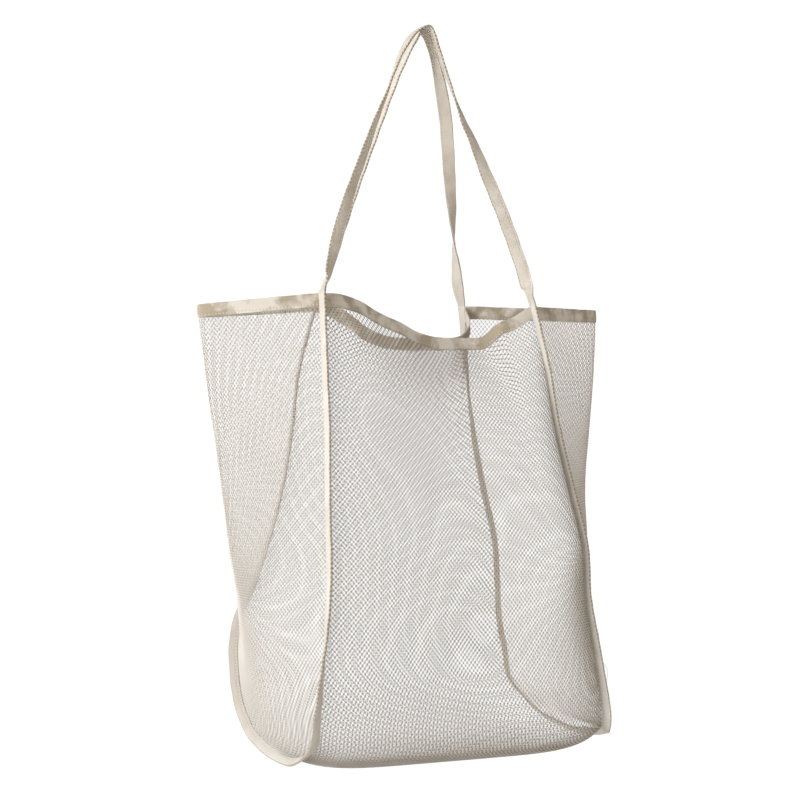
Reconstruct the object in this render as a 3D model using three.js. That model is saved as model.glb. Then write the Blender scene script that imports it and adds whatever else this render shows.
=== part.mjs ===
// Mesh shopping bag, hanging by its two handles. Millimetres, +Z up, X to the right, the front faces -Y.
// The origin is the point where both handles rest on a hook, on the underside of the straps.
import * as THREE from "three";

// Driving dimensions
const HANDLE_DROP = 254; // hook down to the mouth's rim
const BODY_HEIGHT = 400; // rim down to the lowest part of the side seams
const BODY_WIDTH = 300; // front panel across its foot
const BODY_DEPTH = 180; // side panel from front to back at its foot
const FOLD_REACH = 118; // how far a side panel folds outwards at the rim
const RIM_DIP = 32; // sag of the rim between two handle ends
const BULGE = 20; // how far the long panel bellies out between the side seams
const BULGE_FLATNESS = 6; // how evenly the bulge spreads between the seams
const BULGE_TILT = 0.2; // share by which the bulge grows from its middle towards the right seam
const WALL = 1.2; // net fabric with its texture
const TAPE_WIDTH = 12; // handle tape, folded
const TAPE_THICK = 2;
const BAND_HEIGHT = 12; // tape bound round the rim
const BAND_THICK = 2;
const BINDING_WIDTH = 9; // tape bound round each side seam
const BINDING_THICK = 2.4;
const GAP = 0.4; // clear space between neighbouring pieces
const SEAM_GAP = 1.8; // from the seam line to the edge of a panel
const RIM_GAP = 0.7; // between a rim tape and the net under it, which bends there

// The two side seams as they run from the front rim, under the bag and up to the back rim.
// down is a share of BODY_HEIGHT, out of BODY_WIDTH from the middle plane, deep of BODY_DEPTH (front is negative).
// bulge is the share of BULGE half way between the seams, turn is how far the binding leans outwards, in degrees.
const SEAM_COLUMNS = ["downL", "outL", "deepL", "downR", "outR", "deepR", "bulge", "turnL", "turnR"];
const SEAM_ROWS = [
  [-0.012, 0.422, -0.21, 0.003, 0.316, -0.205, 0, -5, -5],
  [0.155, 0.435, -0.28, 0.15, 0.353, -0.245, 0.6, -5, -5],
  [0.285, 0.443, -0.335, 0.285, 0.37, -0.292, 0.9, -2, -4],
  [0.445, 0.463, -0.405, 0.43, 0.3945, -0.362, 1, 0, -2],
  [0.565, 0.474, -0.455, 0.555, 0.4185, -0.418, 1, 2, 0],
  [0.675, 0.486, -0.483, 0.67, 0.413, -0.455, 0.95, 10, 2],
  [0.785, 0.492, -0.478, 0.78, 0.433, -0.475, 0.9, 38, 10],
  [0.885, 0.485, -0.425, 0.88, 0.458, -0.47, 0.87, 62, 26],
  [0.957, 0.463, -0.325, 0.957, 0.482, -0.444, 0.84, 72, 40],
  [0.994, 0.47, -0.165, 0.99, 0.541, -0.278, 0.82, 55, 45],
  [1.003, 0.462, 0, 1.006, 0.548, -0.055, 0.8, 45, 45],
  [0.992, 0.475, 0.135, 1.002, 0.552, 0.12, 0.8, 45, 45],
  [0.961, 0.492, 0.27, 0.988, 0.536, 0.245, 0.8, 45, 45],
  [0.91, 0.496, 0.382, 0.954, 0.512, 0.36, 0.8, 45, 50],
  [0.847, 0.492, 0.452, 0.911, 0.488, 0.45, 0.8, 45, 55],
  [0.78, 0.484, 0.49, 0.848, 0.488, 0.495, 0.8, 45, 60],
  [0.712, 0.464, 0.492, 0.77, 0.475, 0.52, 0.8, 30, 62],
  [0.64, 0.426, 0.476, 0.68, 0.462, 0.507, 0.8, 0, 62],
  [0.56, 0.396, 0.448, 0.575, 0.442, 0.482, 0.8, -15, 62],
  [0.43, 0.36, 0.402, 0.43, 0.375, 0.435, 0.8, -18, 62],
  [0.29, 0.342, 0.345, 0.29, 0.31, 0.355, 0.6, -18, 50],
  [0.155, 0.335, 0.29, 0.14, 0.27, 0.285, 0.4, -18, 15],
  [-0.012, 0.294, 0.21, -0.005, 0.232, 0.21, 0, -18, -15],
];
const LOW_STATION = 10; // the row where both seams are lowest
const LAST = SEAM_ROWS.length - 1;

// The outward fold of each side panel: share of its height, reach as a share of FOLD_REACH, roundness of the fold.
const FOLD_COLUMNS = ["down", "reachL", "softL", "reachR", "softR"];
const FOLD_ROWS = [
  [0, 0.985, 0.18, 0.95, 0.18],
  [0.15, 0.862, 0.2, 0.852, 0.2],
  [0.285, 0.77, 0.24, 0.74, 0.24],
  [0.43, 0.655, 0.3, 0.56, 0.35],
  [0.56, 0.53, 0.4, 0.42, 0.5],
  [0.66, 0.38, 0.6, 0.28, 0.7],
  [0.78, 0.18, 1, 0.16, 1],
  [0.9, 0.08, 1, 0.08, 1],
  [1, 0.02, 1, 0.02, 1],
];
const FOLD_DROOP_L = 11; // the left fold's tip hangs this far below the rim's corners
const FOLD_DROOP_R = 1;

// The rim between two handle ends: across is a share of the chord from the left, dip and curl are shares of RIM_DIP,
// lean is a share of RIM_LEAN towards the inside. The curl fades out soon below the rim, the dip far below it.
const RIM_COLUMNS = ["across", "dip", "curl", "lean"];
const RIM_LEAN = 20;
const FRONT_RIM_ROWS = [
  [0, 0, 0, 0],
  [0.1, 0.05, -0.05, 0.1],
  [0.2, 0.18, -0.03, 0.35],
  [0.3, 0.42, 0, 0.6],
  [0.4, 0.66, -0.03, 0.8],
  [0.5, 0.88, 0.02, 0.9],
  [0.6, 0.95, 0.05, 0.95],
  [0.7, 0.92, 0.07, 1],
  [0.765, 0.89, 0.08, 0.95],
  [0.805, 0.84, 0.06, 0.75],
  [0.845, 0.62, -0.1, 0.12],
  [0.9, 0.42, -0.05, 0],
  [1, 0, 0, 0],
];
const BACK_RIM_ROWS = [
  [0, 0, 0, 0],
  [0.1, 0.15, 0, 0.1],
  [0.2, 0.45, 0, 0.25],
  [0.3, 0.8, 0, 0.4],
  [0.4, 0.98, 0, 0.5],
  [0.5, 1.05, 0, 0.6],
  [0.65, 1.05, 0, 0.7],
  [0.8, 0.95, 0.08, 0.85],
  [0.9, 0.7, 0.2, 1],
  [0.96, 0.35, 0.2, 0.9],
  [1, 0, 0, 0],
];
const DIP_FADE = 300; // distances below the rim over which dip, lean and curl die out
const LEAN_FADE = 120;
const CURL_FADE = 90;

// The four handle legs from the hook down: down is a share of HANDLE_DROP, across of BODY_WIDTH, deep of BODY_DEPTH,
// turn is the compass angle of the tape's width, in degrees from +X towards +Y.
const LEG_COLUMNS = ["down", "across", "deep", "turn"];
const FRONT_LEFT_LEG = [
  [0, 0, -0.039, -90],
  [0.012, -0.022, -0.04, -90],
  [0.035, -0.0476, -0.043, -90],
  [0.07, -0.0745, -0.05, -89],
  [0.13, -0.1038, -0.06, -100],
  [0.2, -0.1313, -0.074, -111],
  [0.28, -0.1625, -0.088, -120],
  [0.38, -0.2033, -0.104, -134],
  [0.48, -0.2421, -0.12, -144],
  [0.59, -0.2844, -0.138, -150],
  [0.69, -0.3211, -0.156, -163],
  [0.8, -0.3551, -0.174, -170],
  [0.87, -0.3779, -0.19, -155],
  [0.93, -0.3959, -0.204, -138],
  [0.958, -0.4052, -0.214, -120],
];
const FRONT_RIGHT_LEG = [
  [0, 0, -0.039, -90],
  [0.01, 0.0114, -0.04, -95],
  [0.04, 0.0235, -0.045, -102],
  [0.1, 0.0395, -0.055, -106],
  [0.2, 0.0669, -0.074, -113],
  [0.27, 0.0881, -0.086, -128],
  [0.34, 0.1113, -0.096, -146],
  [0.42, 0.1432, -0.108, -160],
  [0.5, 0.1706, -0.122, -177],
  [0.6, 0.2071, -0.14, -193],
  [0.75, 0.2564, -0.167, -200],
  [0.885, 0.293, -0.192, -207],
  [0.95, 0.3055, -0.204, -236],
];
const BACK_LEFT_LEG = [
  [0, 0, 0.039, -90],
  [0.01, -0.0025, 0.04, -90],
  [0.035, -0.0119, 0.042, -89],
  [0.08, -0.0324, 0.05, -88],
  [0.16, -0.0617, 0.066, -90],
  [0.25, -0.0905, 0.083, -91],
  [0.34, -0.1154, 0.098, -94],
  [0.5, -0.1603, 0.126, -100],
  [0.66, -0.2029, 0.155, -101],
  [0.8, -0.2392, 0.182, -102],
  [0.93, -0.2762, 0.206, -106],
];
const BACK_RIGHT_LEG = [
  [0, 0, 0.039, -90],
  [0.01, 0.016, 0.04, -90],
  [0.035, 0.035, 0.042, -90],
  [0.095, 0.06, 0.053, -88],
  [0.16, 0.0815, 0.0665, -72],
  [0.23, 0.099, 0.08, -50],
  [0.315, 0.118, 0.097, -35],
  [0.53, 0.147, 0.134, -5],
  [0.66, 0.165, 0.158, 25],
  [0.76, 0.18, 0.18, 60],
  [0.85, 0.195, 0.2, 95],
  [0.925, 0.209, 0.222, 115],
];

// How finely each surface is faceted
const PANEL_STEPS = 38;
const PANEL_COLUMNS = 24;
const SEAM_STEPS = 96;
const SIDE_ROWS = [0, 0.08, 0.16, 0.24, 0.32, 0.4, 0.48, 0.56, 0.63, 0.7, 0.77, 0.83, 0.88, 0.92, 0.95, 0.972];
const SIDE_COLUMNS = [-1, -0.8, -0.6, -0.42, -0.28, -0.16, -0.07, 0, 0.07, 0.16, 0.28, 0.42, 0.6, 0.8, 1];
const LEG_STEPS = 34;
const SEAM_SAMPLES = 440; // points at which the seams are measured
const HEIGHT_SAMPLES = 200;
const STATION_NUDGE = 0.05; // share of a row used to find a seam's direction
const EDGE_NUDGE = 0.02; // share of a panel's width used to find its direction at the seam
const FOOT_SHARE = 0.8; // part of the last row's span that the side panel's lowest edge keeps

// Tables
function smooth(rows, at) {
  const n = rows.length;
  const i = Math.min(Math.max(Math.floor(at), 0), n - 2);
  const f = Math.min(Math.max(at - i, 0), 1);
  const a = rows[Math.max(i - 1, 0)];
  const b = rows[i];
  const c = rows[i + 1];
  const d = rows[Math.min(i + 2, n - 1)];
  return b.map((v, k) => {
    const second = 2 * a[k] - 5 * v + 4 * c[k] - d[k] + f * (3 * (v - c[k]) + d[k] - a[k]);
    return v + 0.5 * f * (c[k] - a[k] + f * second);
  });
}

function lookup(rows, x) {
  let i = 0;
  while (i < rows.length - 2 && x > rows[i + 1][0]) i++;
  return smooth(rows, i + (x - rows[i][0]) / (rows[i + 1][0] - rows[i][0]));
}

function interpolate(x, xs, ys) {
  if (x <= xs[0]) return ys[0];
  for (let i = 1; i < xs.length; i++)
    if (x <= xs[i]) return ys[i - 1] + ((ys[i] - ys[i - 1]) * (x - xs[i - 1])) / (xs[i] - xs[i - 1]);
  return ys[ys.length - 1];
}

function named(columns, row) {
  return Object.fromEntries(columns.map((c, i) => [c, row[i]]));
}

function spaced(n, low, high) {
  return Array.from({ length: n + 1 }, (_, i) => low + ((high - low) * i) / n);
}

// Side seams; side is -1 for left and 1 for right
function seam(side, at) {
  const s = named(SEAM_COLUMNS, smooth(SEAM_ROWS, at));
  const down = side < 0 ? s.downL : s.downR;
  const out = side < 0 ? s.outL : s.outR;
  const deep = side < 0 ? s.deepL : s.deepR;
  return new THREE.Vector3(side * out * BODY_WIDTH, deep * BODY_DEPTH, -HANDLE_DROP - down * BODY_HEIGHT);
}

function seamDirection(side, at) {
  const from = seam(side, Math.max(at - STATION_NUDGE, 0));
  return seam(side, Math.min(at + STATION_NUDGE, LAST)).sub(from).normalize();
}

function middle(at) {
  return seam(-1, at).add(seam(1, at)).multiplyScalar(0.5);
}

function outward(at) {
  const low = middle(Math.max(at - STATION_NUDGE, 0));
  const along = middle(Math.min(at + STATION_NUDGE, LAST)).sub(low);
  return new THREE.Vector3(0, along.z, -along.y).normalize();
}

function bindingWay(side, at) {
  const s = named(SEAM_COLUMNS, smooth(SEAM_ROWS, at));
  const turn = THREE.MathUtils.degToRad(side < 0 ? s.turnL : s.turnR);
  const way = outward(at).multiplyScalar(Math.cos(turn));
  way.x += side * Math.sin(turn);
  return way;
}

const stationList = spaced(SEAM_SAMPLES, 0, LAST);
const runList = [0];
for (let i = 1; i < stationList.length; i++) {
  const left = seam(-1, stationList[i]).distanceTo(seam(-1, stationList[i - 1]));
  const right = seam(1, stationList[i]).distanceTo(seam(1, stationList[i - 1]));
  runList.push(runList[i - 1] + (left + right) / 2);
}
const RUN = runList[runList.length - 1];

function fade(run, reach) {
  const below = Math.max(run - BAND_HEIGHT, 0);
  return Math.max(1 - below / reach, 0) ** 2;
}

// The long panel: run is the distance from the front rim along it, across goes from 0 at the left seam to 1
function longPanel(run, across) {
  const at = interpolate(run, runList, stationList);
  const left = seam(-1, at);
  const p = left.clone().lerp(seam(1, at), across);
  const sideways = 2 * across - 1;
  const spread = (1 - sideways ** BULGE_FLATNESS) * (1 + BULGE_TILT * sideways);
  p.addScaledVector(outward(at), named(SEAM_COLUMNS, smooth(SEAM_ROWS, at)).bulge * spread * BULGE);
  const front = named(RIM_COLUMNS, lookup(FRONT_RIM_ROWS, across));
  const back = named(RIM_COLUMNS, lookup(BACK_RIM_ROWS, across));
  const rest = RUN - run;
  const dip = front.dip * fade(run, DIP_FADE) + back.dip * fade(rest, DIP_FADE);
  const curl = front.curl * fade(run, CURL_FADE) + back.curl * fade(rest, CURL_FADE);
  p.z -= RIM_DIP * (dip + curl);
  p.y += RIM_LEAN * (front.lean * fade(run, LEAN_FADE) - back.lean * fade(rest, LEAN_FADE));
  return p;
}

// Side panels: down is a share of the height below the rim, t goes from -1 at the front seam to 1 at the back seam
function stationAt(side, down, from, to) {
  const list = spaced(HEIGHT_SAMPLES, from, to);
  const heights = list.map((at) => seam(side, at).z);
  const low = seam(side, LOW_STATION).z + GAP;
  const want = heights[0] + (low - heights[0]) * down;
  return interpolate(
    -want,
    heights.map((z) => -z),
    list,
  );
}

function sideEnds(side, down) {
  return [stationAt(side, down, 0, LOW_STATION), stationAt(side, down, LAST, LOW_STATION)];
}

function sidePanel(side, down, t, ends) {
  const front = seam(side, ends[0]);
  const back = seam(side, ends[1]);
  const fold = named(FOLD_COLUMNS, lookup(FOLD_ROWS, down));
  const reach = side < 0 ? fold.reachL : fold.reachR;
  const soft = side < 0 ? fold.softL : fold.softR;
  const shape = 1 - (Math.hypot(t, soft) - soft) / (Math.hypot(1, soft) - soft);
  const p = front.lerp(back, (t + 1) / 2);
  p.x += side * FOLD_REACH * reach * shape;
  p.z -= (side < 0 ? FOLD_DROOP_L : FOLD_DROOP_R) * shape * (1 - down) ** 2;
  return p;
}

// Solids
function solid(points, faces) {
  let volume = 0;
  for (const [a, b, c] of faces) volume += points[a].dot(points[b].clone().cross(points[c]));
  const position = new Float32Array(faces.length * 9);
  faces.forEach((face, i) => {
    const order = volume < 0 ? [face[0], face[2], face[1]] : face;
    order.forEach((p, k) => points[p].toArray(position, i * 9 + k * 3));
  });
  const geometry = new THREE.BufferGeometry();
  geometry.setAttribute("position", new THREE.BufferAttribute(position, 3));
  geometry.computeVertexNormals();
  return geometry;
}

// A sheet of fabric of even thickness over a grid of points
function sheet(grid, thick) {
  const rows = grid.length;
  const cols = grid[0].length;
  const top = [];
  const under = [];
  grid.forEach((line, i) =>
    line.forEach((p, j) => {
      const along = grid[Math.min(i + 1, rows - 1)][j].clone().sub(grid[Math.max(i - 1, 0)][j]);
      const across = line[Math.min(j + 1, cols - 1)].clone().sub(line[Math.max(j - 1, 0)]);
      const normal = along.cross(across).normalize();
      top.push(p.clone().addScaledVector(normal, thick / 2));
      under.push(p.clone().addScaledVector(normal, -thick / 2));
    }),
  );
  const points = [...top, ...under];
  const half = rows * cols;
  const faces = [];
  const quad = (a, b, c, d) => faces.push([a, b, c], [a, c, d]);
  for (let i = 0; i < rows - 1; i++)
    for (let j = 0; j < cols - 1; j++) {
      const a = i * cols + j;
      quad(a, a + cols, a + cols + 1, a + 1);
      quad(half + a, half + a + 1, half + a + cols + 1, half + a + cols);
    }
  for (let i = 0; i < rows - 1; i++) {
    const a = i * cols;
    const b = a + cols - 1;
    quad(a, half + a, half + a + cols, a + cols);
    quad(b, b + cols, half + b + cols, half + b);
  }
  for (let j = 0; j < cols - 1; j++) {
    const a = j;
    const b = (rows - 1) * cols + j;
    quad(a, a + 1, half + a + 1, half + a);
    quad(b, half + b, half + b + 1, b + 1);
  }
  return solid(points, faces);
}

// A flat tape that follows points and is cut level at both ends; ways are the directions of its width
function tape(points, ways, widths, thick) {
  const corners = [];
  points.forEach((p, i) => {
    const last = points.length - 1;
    const along = points[Math.min(i + 1, last)].clone().sub(points[Math.max(i - 1, 0)]).normalize();
    if (i === 0 || i === last) along.set(0, 0, Math.sign(along.z));
    const wide = ways[i].clone().addScaledVector(along, -ways[i].dot(along)).normalize();
    const flat = along.clone().cross(wide);
    for (const [a, b] of [
      [-1, -1],
      [1, -1],
      [1, 1],
      [-1, 1],
    ])
      corners.push(
        p
          .clone()
          .addScaledVector(wide, (a * widths[i]) / 2)
          .addScaledVector(flat, (b * thick) / 2),
      );
  });
  const faces = [];
  for (let i = 0; i < points.length - 1; i++)
    for (let k = 0; k < 4; k++) {
      const a = i * 4 + k;
      const b = i * 4 + ((k + 1) % 4);
      faces.push([a, b, b + 4], [a, b + 4, a + 4]);
    }
  const end = (points.length - 1) * 4;
  faces.push([0, 2, 1], [0, 3, 2], [end, end + 1, end + 2], [end, end + 2, end + 3]);
  return solid(corners, faces);
}

// Share of its width by which a panel stops short of a seam, so that it clears the binding however that leans.
// edge lies on the seam, near a little inside it.
function inset(side, at, edge, near, thick) {
  const along = seamDirection(side, at);
  const step = near.clone().sub(edge);
  const square = step.clone().addScaledVector(along, -step.dot(along));
  const towards = Math.max(square.dot(bindingWay(side, at)) / square.length(), 0);
  const flank = (BINDING_THICK / 2 + GAP + (thick / 2) * towards) / Math.sqrt(1 - towards ** 2);
  return (Math.max(SEAM_GAP + (thick - WALL) / 2, flank) * EDGE_NUDGE) / square.length();
}

// Pieces. The long panel is inset as its thicker rim tapes are, so that it stays in line with them.
function longPanelGrid(runs, columns) {
  return runs.map((run) => {
    const at = interpolate(run, runList, stationList);
    const left = inset(-1, at, longPanel(run, 0), longPanel(run, EDGE_NUDGE), BAND_THICK);
    const right = inset(1, at, longPanel(run, 1), longPanel(run, 1 - EDGE_NUDGE), BAND_THICK);
    return spaced(columns, left, 1 - right).map((across) => longPanel(run, across));
  });
}

function sideRow(side, down, thick) {
  const ends = sideEnds(side, down);
  const insets = [-1, 1].map((t, k) => {
    const near = sidePanel(side, down, t * (1 - EDGE_NUDGE), ends);
    return inset(side, ends[k], sidePanel(side, down, t, ends), near, thick);
  });
  return SIDE_COLUMNS.map((t) => sidePanel(side, down, t * (1 - insets[t < 0 ? 0 : 1]), ends));
}

function downOf(side, distance) {
  return distance / (seam(side, 0).z - seam(side, LOW_STATION).z);
}

function sideRim(side) {
  const rows = [0, BAND_HEIGHT].map((distance) => sideRow(side, downOf(side, distance), BAND_THICK));
  return sheet(rows, BAND_THICK);
}

function sideNet(side) {
  const first = downOf(side, BAND_HEIGHT + RIM_GAP);
  const rows = SIDE_ROWS.map((down) => sideRow(side, Math.max(down, first), WALL));
  const lift = new THREE.Vector3(0, 0, SEAM_GAP);
  const lastRow = SIDE_ROWS[SIDE_ROWS.length - 1];
  const [from, to] = sideEnds(side, lastRow);
  const foot = SIDE_COLUMNS.map((t) => seam(side, from + ((to - from) * (t * FOOT_SHARE + 1)) / 2).add(lift));
  return sheet([...rows, foot], WALL);
}

function binding(side) {
  const centre = GAP + BINDING_WIDTH / 2;
  const runs = spaced(SEAM_STEPS, 0, RUN).map((run) => interpolate(run, runList, stationList));
  const ways = runs.map((at) => bindingWay(side, at));
  const points = runs.map((at, i) => seam(side, at).addScaledVector(ways[i], centre));
  return tape(
    points,
    ways,
    points.map(() => BINDING_WIDTH),
    BINDING_THICK,
  );
}

function legPath(rows, side, at) {
  const way = bindingWay(side, at);
  const foot = seam(side, at).addScaledVector(way, GAP + BINDING_WIDTH / 2);
  foot.z += GAP;
  const before = rows[rows.length - 1][3];
  let turn = THREE.MathUtils.radToDeg(Math.atan2(way.y, way.x));
  turn += 180 * Math.round((before - turn) / 180);
  const down = (TAPE_THICK / 2 - foot.z) / HANDLE_DROP;
  return [...rows, [down, foot.x / BODY_WIDTH, foot.y / BODY_DEPTH, turn]];
}

function handle(leftRows, rightRows, at) {
  const left = legPath(leftRows, -1, at);
  const right = legPath(rightRows, 1, at);
  const sample = (rows) => spaced(LEG_STEPS, 0, rows.length - 1).map((k) => [...smooth(rows, k), k - rows.length + 1]);
  const rows = [...sample(left).reverse(), ...sample(right).slice(1)];
  const points = rows.map(
    (r) => new THREE.Vector3(r[1] * BODY_WIDTH, r[2] * BODY_DEPTH, TAPE_THICK / 2 - r[0] * HANDLE_DROP),
  );
  const ways = rows.map((r) => {
    const turn = THREE.MathUtils.degToRad(named(LEG_COLUMNS, r).turn);
    return new THREE.Vector3(Math.cos(turn), Math.sin(turn), 0);
  });
  const widths = rows.map((r) => TAPE_WIDTH + (BINDING_WIDTH - TAPE_WIDTH) * Math.max(1 + r[4], 0));
  return tape(points, ways, widths, TAPE_THICK);
}

const NET = { color: 0xdedad3, roughness: 0.9, metalness: 0 };
const TAPE = { color: 0xd9d0bb, roughness: 0.85, metalness: 0 };
const bag = new THREE.Group();

function add(name, geometry, look) {
  const mesh = new THREE.Mesh(geometry, new THREE.MeshStandardMaterial(look));
  mesh.name = name;
  bag.add(mesh);
}

const netRuns = spaced(PANEL_STEPS, BAND_HEIGHT + RIM_GAP, RUN - BAND_HEIGHT - RIM_GAP);
add("centre_panel", sheet(longPanelGrid(netRuns, PANEL_COLUMNS), WALL), NET);
add("left_gusset", sideNet(-1), NET);
add("right_gusset", sideNet(1), NET);
add("front_rim_band", sheet(longPanelGrid([0, BAND_HEIGHT], PANEL_COLUMNS), BAND_THICK), TAPE);
add("back_rim_band", sheet(longPanelGrid([RUN - BAND_HEIGHT, RUN], PANEL_COLUMNS), BAND_THICK), TAPE);
add("left_rim_band", sideRim(-1), TAPE);
add("right_rim_band", sideRim(1), TAPE);
add("left_seam_binding", binding(-1), TAPE);
add("right_seam_binding", binding(1), TAPE);
add("front_handle", handle(FRONT_LEFT_LEG, FRONT_RIGHT_LEG, 0), TAPE);
add("back_handle", handle(BACK_LEFT_LEG, BACK_RIGHT_LEG, LAST), TAPE);

export default bag;
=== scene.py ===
# Mesh shopping bag hanging from a hook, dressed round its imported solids.
# Metres, +Z up, +X to the right as seen from the front, the front faces -Y.
import math
import bpy
import numpy as np
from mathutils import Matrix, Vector


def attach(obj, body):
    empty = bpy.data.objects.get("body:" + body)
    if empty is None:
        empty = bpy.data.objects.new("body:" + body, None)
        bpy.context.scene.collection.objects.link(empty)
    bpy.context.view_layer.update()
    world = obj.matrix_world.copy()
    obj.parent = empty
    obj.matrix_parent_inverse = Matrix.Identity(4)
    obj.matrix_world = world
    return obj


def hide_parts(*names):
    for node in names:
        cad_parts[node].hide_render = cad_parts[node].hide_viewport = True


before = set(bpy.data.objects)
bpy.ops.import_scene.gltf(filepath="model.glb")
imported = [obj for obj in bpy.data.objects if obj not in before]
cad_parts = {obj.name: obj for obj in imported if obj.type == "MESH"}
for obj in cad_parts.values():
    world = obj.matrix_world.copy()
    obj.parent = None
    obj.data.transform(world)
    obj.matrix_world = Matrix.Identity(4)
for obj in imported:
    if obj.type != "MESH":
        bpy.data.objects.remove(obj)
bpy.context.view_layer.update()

# Sizes, as in the part's source
HANDLE_DROP = 0.254
BODY_HEIGHT = 0.400
BODY_WIDTH = 0.300
BODY_DEPTH = 0.180
FOLD_REACH = 0.118
RIM_DIP = 0.032
RIM_LEAN = 0.020
BULGE = 0.020
BULGE_FLATNESS = 6
BULGE_TILT = 0.2
TAPE_WIDTH = 0.012
TAPE_THICK = 0.002
BAND_HEIGHT = 0.012
BAND_THICK = 0.002
BINDING_WIDTH = 0.009
BINDING_THICK = 0.0024
GAP = 0.0004
DIP_FADE = 0.300
LEAN_FADE = 0.120
CURL_FADE = 0.090
FOLD_DROOP = {-1: 0.011, 1: 0.001}

# Sizes of the cloth and thread
NET_PITCH = 0.0040
NET_RISE = 0.0047
YARN = 0.00075
NET_HEM = 0.0022  # how far below a panel's edge its net ends, inside the rim tape
NET_MARGIN = 0.001  # diamonds whose middles come nearer to an edge than this are dropped
NET_ROWS_ABOVE = 1.5  # rows of diamonds above the rim before the net is cut
FRONT_NET_LENGTH = 0.385
FOOT_NET_LENGTH = 0.205
FRONT_NET_WIDTH = 0.300
FOOT_NET_WIDTH = 0.320
SEAM_ALLOWANCE = 0.0045
STITCH_PITCH = 0.0030
STITCH_LENGTH = 0.0023
STITCH_THICK = 0.00045
STITCH_INSET = 0.0019
STRAP_STITCH_INSET = STITCH_INSET * 0.8
STATION_STEP = 0.0015
HIDDEN_FOOT = 0.004  # how far a handle runs on inside the seam tape
HIDDEN_START = 0.0008
HIDDEN_INSET = 0.0004
PINCH_HEIGHT = 0.012  # where a twisted strap is drawn together, above the end of its hidden foot
PINCH_SPREAD = 0.006
FRONT_PINCH = (0.5, 0.35)  # share of the width that is lost there, left then right
TWIST_ROUNDS = 6
# Painted shade along a tape's fold: pitch of its slanting marks, and how far in from the fold it reaches
FOLD_SHADE_PITCH = 0.0038
FOLD_SHADE_REACH = 0.0007
CROSS_THREAD_PITCH = 0.0007

# Folded tape: depth of the slit between its edges, then shares of its thickness
BINDING_SLIT = 0.0055
STRAP_SLIT = 0.0085
SLIT_LIP = 0.0001
SLIT_HALF = 0.14
SLIT_END = 0.6
TAPE_EDGE = 0.72
TAPE_SWELL = 0.12

# How far sewn tape puckers along its edge, in thickness as a share, and to its side
STRAP_PUCKER = (0.00022, 0.10, 0.00025)
RIM_PUCKER = (0.0003, 0.12, 0.0003)
STRAP_PUCKER_SHIFT = 0.05
RIM_PUCKER_SHIFT = 0.03

# How finely the surfaces are sampled
SEAM_SAMPLES = 441
EDGE_SAMPLES = 401
PANEL_ROWS = 400
HALF_COLUMNS = 80
NEAREST_SAMPLES = 1401
NEAREST_BATCH = 4000
CLOTH_STEP = 0.001
CLOTH_REACH = 0.160
LAY_STEP = 0.0008
SLOPE_REACH = 0.05

# Side seams from the front rim under the bag to the back rim: shares of height, width and depth,
# left then right, the bulge between them, and how far the binding leans outwards in degrees,
# left then right
SEAM_ROWS = np.array([
    [-0.012, 0.422, -0.21, 0.003, 0.316, -0.205, 0, -5, -5],
    [0.155, 0.435, -0.28, 0.15, 0.353, -0.245, 0.6, -5, -5],
    [0.285, 0.443, -0.335, 0.285, 0.37, -0.292, 0.9, -2, -4],
    [0.445, 0.463, -0.405, 0.43, 0.3945, -0.362, 1, 0, -2],
    [0.565, 0.474, -0.455, 0.555, 0.4185, -0.418, 1, 2, 0],
    [0.675, 0.486, -0.483, 0.67, 0.413, -0.455, 0.95, 10, 2],
    [0.785, 0.492, -0.478, 0.78, 0.433, -0.475, 0.9, 38, 10],
    [0.885, 0.485, -0.425, 0.88, 0.458, -0.47, 0.87, 62, 26],
    [0.957, 0.463, -0.325, 0.957, 0.482, -0.444, 0.84, 72, 40],
    [0.994, 0.47, -0.165, 0.99, 0.541, -0.278, 0.82, 55, 45],
    [1.003, 0.462, 0, 1.006, 0.548, -0.055, 0.8, 45, 45],
    [0.992, 0.475, 0.135, 1.002, 0.552, 0.12, 0.8, 45, 45],
    [0.961, 0.492, 0.27, 0.988, 0.536, 0.245, 0.8, 45, 45],
    [0.91, 0.496, 0.382, 0.954, 0.512, 0.36, 0.8, 45, 50],
    [0.847, 0.492, 0.452, 0.911, 0.488, 0.45, 0.8, 45, 55],
    [0.78, 0.484, 0.49, 0.848, 0.488, 0.495, 0.8, 45, 60],
    [0.712, 0.464, 0.492, 0.77, 0.475, 0.52, 0.8, 30, 62],
    [0.64, 0.426, 0.476, 0.68, 0.462, 0.507, 0.8, 0, 62],
    [0.56, 0.396, 0.448, 0.575, 0.442, 0.482, 0.8, -15, 62],
    [0.43, 0.36, 0.402, 0.43, 0.375, 0.435, 0.8, -18, 62],
    [0.29, 0.342, 0.345, 0.29, 0.31, 0.355, 0.6, -18, 50],
    [0.155, 0.335, 0.29, 0.14, 0.27, 0.285, 0.4, -18, 15],
    [-0.012, 0.294, 0.21, -0.005, 0.232, 0.21, 0, -18, -15],
])
LOW_STATION = 10
LAST = len(SEAM_ROWS) - 1

# Outward fold of the side panels: share of height, reach and softness, left then right
FOLD_ROWS = np.array([
    [0, 0.985, 0.18, 0.95, 0.18],
    [0.15, 0.862, 0.2, 0.852, 0.2],
    [0.285, 0.77, 0.24, 0.74, 0.24],
    [0.43, 0.655, 0.3, 0.56, 0.35],
    [0.56, 0.53, 0.4, 0.42, 0.5],
    [0.66, 0.38, 0.6, 0.28, 0.7],
    [0.78, 0.18, 1, 0.16, 1],
    [0.9, 0.08, 1, 0.08, 1],
    [1, 0.02, 1, 0.02, 1],
])

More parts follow.
